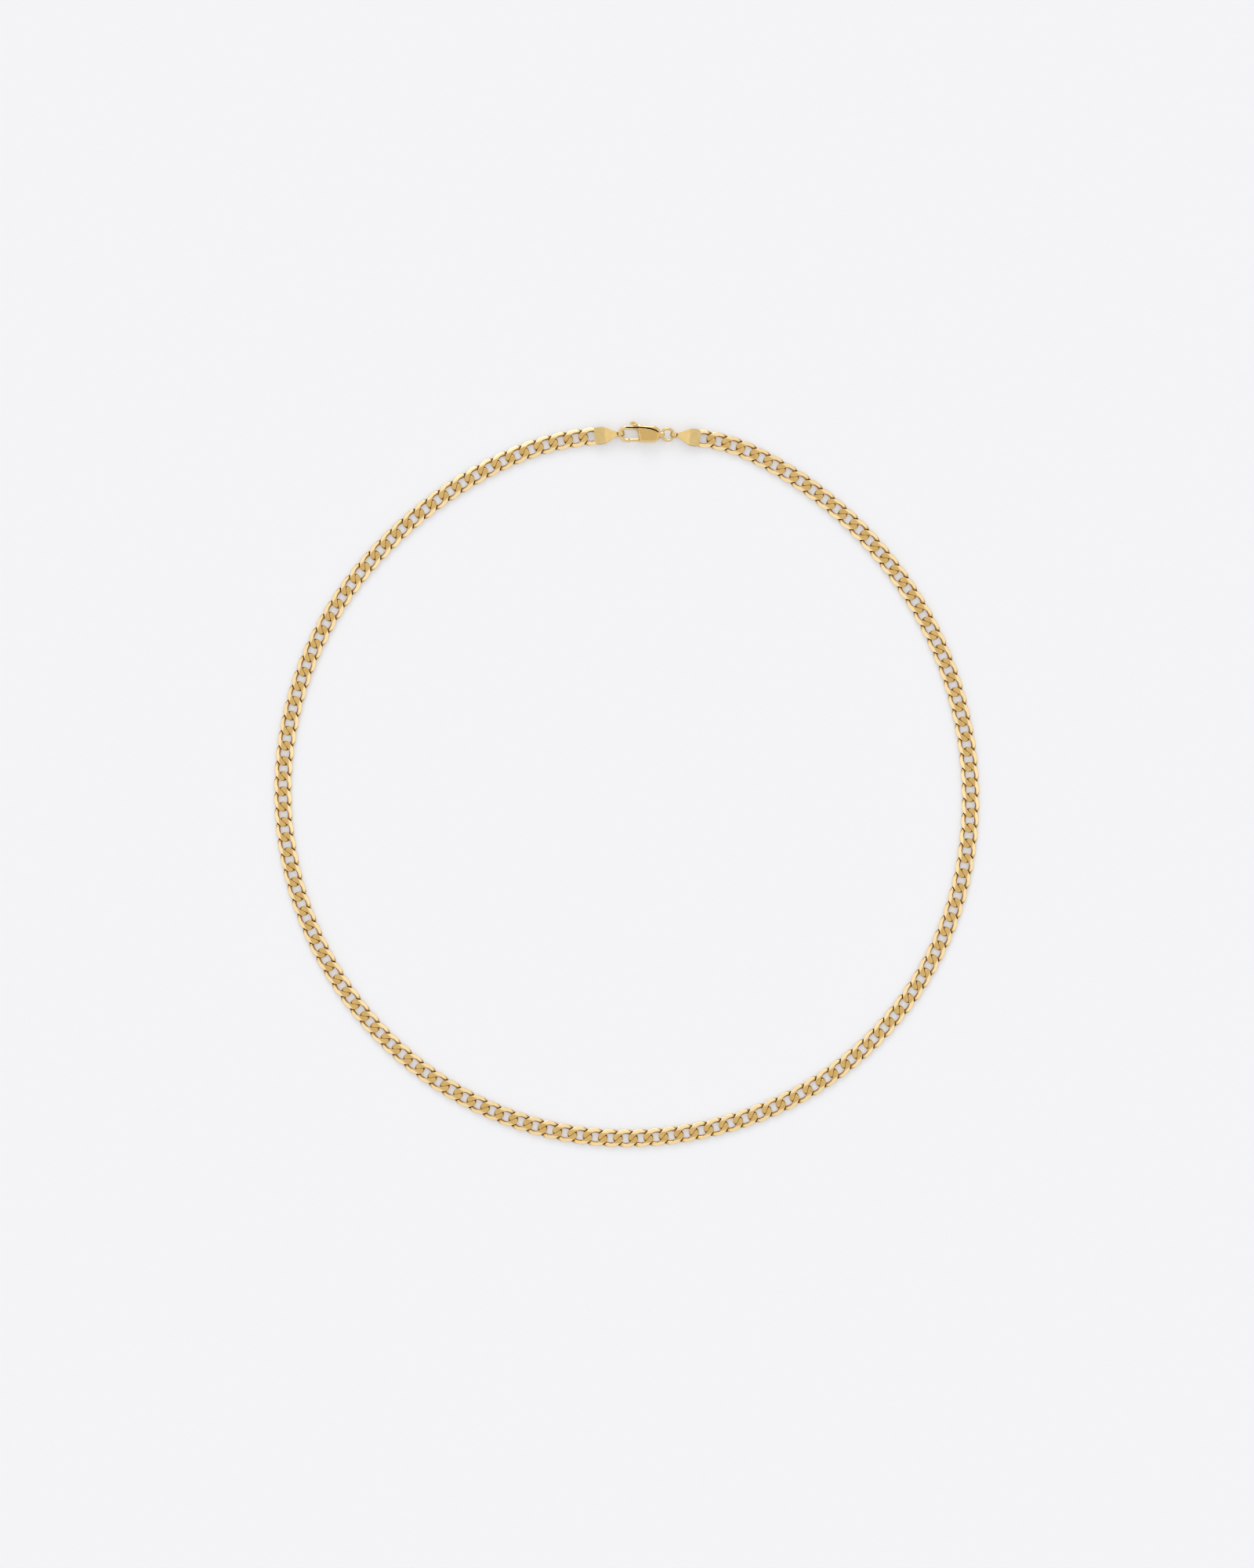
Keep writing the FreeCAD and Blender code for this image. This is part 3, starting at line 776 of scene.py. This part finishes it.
def cast_gold():
    """The clasp: satin in the middle of its faces, smoother rims painted lighter as a highlight,
    and painted shade in its engraved groove.
    """
    g = Graph("clasp_gold_cast")
    place = g.place()
    inward, groove_shade, _ = g.parts(g.attribute("finish_and_painted_light"))
    speck = g.specks(place, 8.0)
    brush = g.brushing(place, (1.5, 20.0, 20.0), turn=0.3)
    scratch = g.scratches(place, (0.6, 24.0, 5.0), turn=-0.6, rarity=0.68)
    satin = g.mix(g.range(speck, 0.0, 1.0, source=(0.35, 0.65)), SATIN_DEEP, SATIN_LIGHT)
    # rims painted lighter as a highlight
    colour = g.mix(g.range(inward, 0.0, 1.0, source=(0.55, 1.0)), POLISHED_WITH_HIGHLIGHT, satin)
    roughness = g.sum((g.range(inward, 0.16, 0.26, source=(0.5, 1.0)), 1.0),
                      (g.range(brush, 0.0, 0.08), 1.0), (scratch, 0.08), (groove_shade, 0.35))
    # painted shade in the engraved groove
    g.shade(g.mix(groove_shade, colour, GROOVE_SHADE), roughness)
    g.bump(g.sum((brush, 1.0), (scratch, -0.3), (speck, 1.0)), 0.004)
    return g.material


def drawn_steel():
    """The spring: bright steel with fine lines from drawing."""
    g = Graph("spring_steel_drawn")
    lines = g.brushing(g.place(), (2.0, 2.0, 22.0))
    g.shade(g.mix(lines, STEEL_DARK, STEEL_LIGHT), g.range(lines, 0.24, 0.40))
    g.bump(lines, 0.008)
    return g.material


def table_paint():
    g = Graph("pale_table", metal=False)
    fibre = g.noise(g.place(), (1.6, 1.6, 1.6), detail=3.0)
    g.shade(g.mix(fibre, TABLE_LOW, TABLE_HIGH), g.range(fibre, 0.80, 0.90))
    g.shader.inputs["Specular IOR Level"].default_value = 0.1
    g.shader.inputs["Emission Color"].default_value = TABLE_GLOW
    g.shader.inputs["Emission Strength"].default_value = TABLE_GLOW_STRENGTH
    return g.material


CHAIN_GOLD = cut_gold()
TAB_GOLD = plain_gold("tab_gold_satin", TAB_LIGHT, TAB_DEEP, rough=0.26, grain=0.006)
CLASP_GOLD = cast_gold()
# smoother rounded tab edges, painted lighter as a highlight
EDGE_GOLD_HIGHLIT = plain_gold("edge_gold_painted_highlight", EDGE_HIGHLIGHT_LIGHT, EDGE_HIGHLIGHT_DEEP, rough=0.18, grain=0.004)
RING_GOLD = plain_gold("ring_gold_drawn", RING_LIGHT, RING_DEEP, rough=0.24, grain=0.008)
SPRING_STEEL = drawn_steel()


# --- Stage ------------------------------------------------------------------------
def make_table():
    mesh = bpy.data.meshes.new("table_top")
    level = CAD_BOX[0][2] - TABLE_DROP * MM
    corners = [(-TABLE_REACH, -TABLE_REACH, level), (TABLE_REACH, -TABLE_REACH, level),
               (TABLE_REACH, TABLE_REACH, level), (-TABLE_REACH, TABLE_REACH, level)]
    mesh.from_pydata(corners, [], [(0, 1, 2, 3)])
    mesh.materials.append(table_paint())
    new_object("table", mesh)


def soft_sun(name, bearing, lean, spread, strength, colour):
    """Distant soft light: bearing from +X, and lean away from straight overhead."""
    light = bpy.data.lights.new(name, "SUN")
    light.angle = math.radians(spread)
    light.energy = strength
    light.color = colour
    lamp = new_object(name, light)
    turn, tip = math.radians(bearing), math.radians(lean)
    toward = Vector((math.sin(tip) * math.cos(turn), math.sin(tip) * math.sin(turn), math.cos(tip)))
    lamp.location = toward
    lamp.rotation_euler = toward.to_track_quat("Z", "Y").to_euler()


def make_sky():
    """Pale tent over the table, bright overhead and dimmer towards the table's edge."""
    world = bpy.data.worlds.new("studio")
    bpy.context.scene.world = world
    world.use_nodes = True
    nodes, links = world.node_tree.nodes, world.node_tree.links
    where = nodes.new("ShaderNodeTexCoord")
    parts = nodes.new("ShaderNodeSeparateXYZ")
    rise = nodes.new("ShaderNodeMapRange")
    rise.interpolation_type = "SMOOTHSTEP"
    rise.inputs["From Max"].default_value = SKY_RISE
    rise.inputs["To Min"].default_value = SKY_LOW
    rise.inputs["To Max"].default_value = SKY_HIGH
    links.new(where.outputs["Generated"], parts.inputs["Vector"])
    links.new(parts.outputs["Z"], rise.inputs["Value"])
    links.new(rise.outputs["Result"], nodes["Background"].inputs["Strength"])
    nodes["Background"].inputs["Color"].default_value = SKY_COLOUR


def make_light():
    make_sky()
    for k in range(RING_LAMPS):
        bearing = RING_FIRST + 360 / RING_LAMPS * k
        strength = RING_STRENGTH + RING_SWING * math.cos(math.radians(2 * bearing))
        soft_sun(f"ring_light_{k}", bearing, RING_LEAN, RING_SPREAD, strength, WARM_WHITE)
    soft_sun("key_light", bearing=95, lean=60, spread=26, strength=0.70, colour=WARM_WHITE)
    soft_sun("glint_light", bearing=115, lean=48, spread=7, strength=0.10, colour=WHITE)


def make_camera():
    camera = bpy.data.cameras.new("camera")
    camera.lens = LENS
    camera.sensor_width = SENSOR
    camera.sensor_fit = "HORIZONTAL"
    camera.clip_end = FAR_CLIP
    seat = new_object("camera", camera)
    middle = (Vector(CAD_BOX[0]) + Vector(CAD_BOX[1])) / 2
    seat.location = (middle.x + CAMERA_SHIFT[0] * MM, middle.y + CAMERA_SHIFT[1] * MM,
                     CAMERA_HEIGHT)
    bpy.context.scene.camera = seat
    bpy.context.scene.view_settings.view_transform = "Standard"


make_camera()
make_light()
make_table()
make_links()
make_tab("right_end_tab")
make_tab("left_end_tab")
make_clasp()
make_ring()
make_spring()
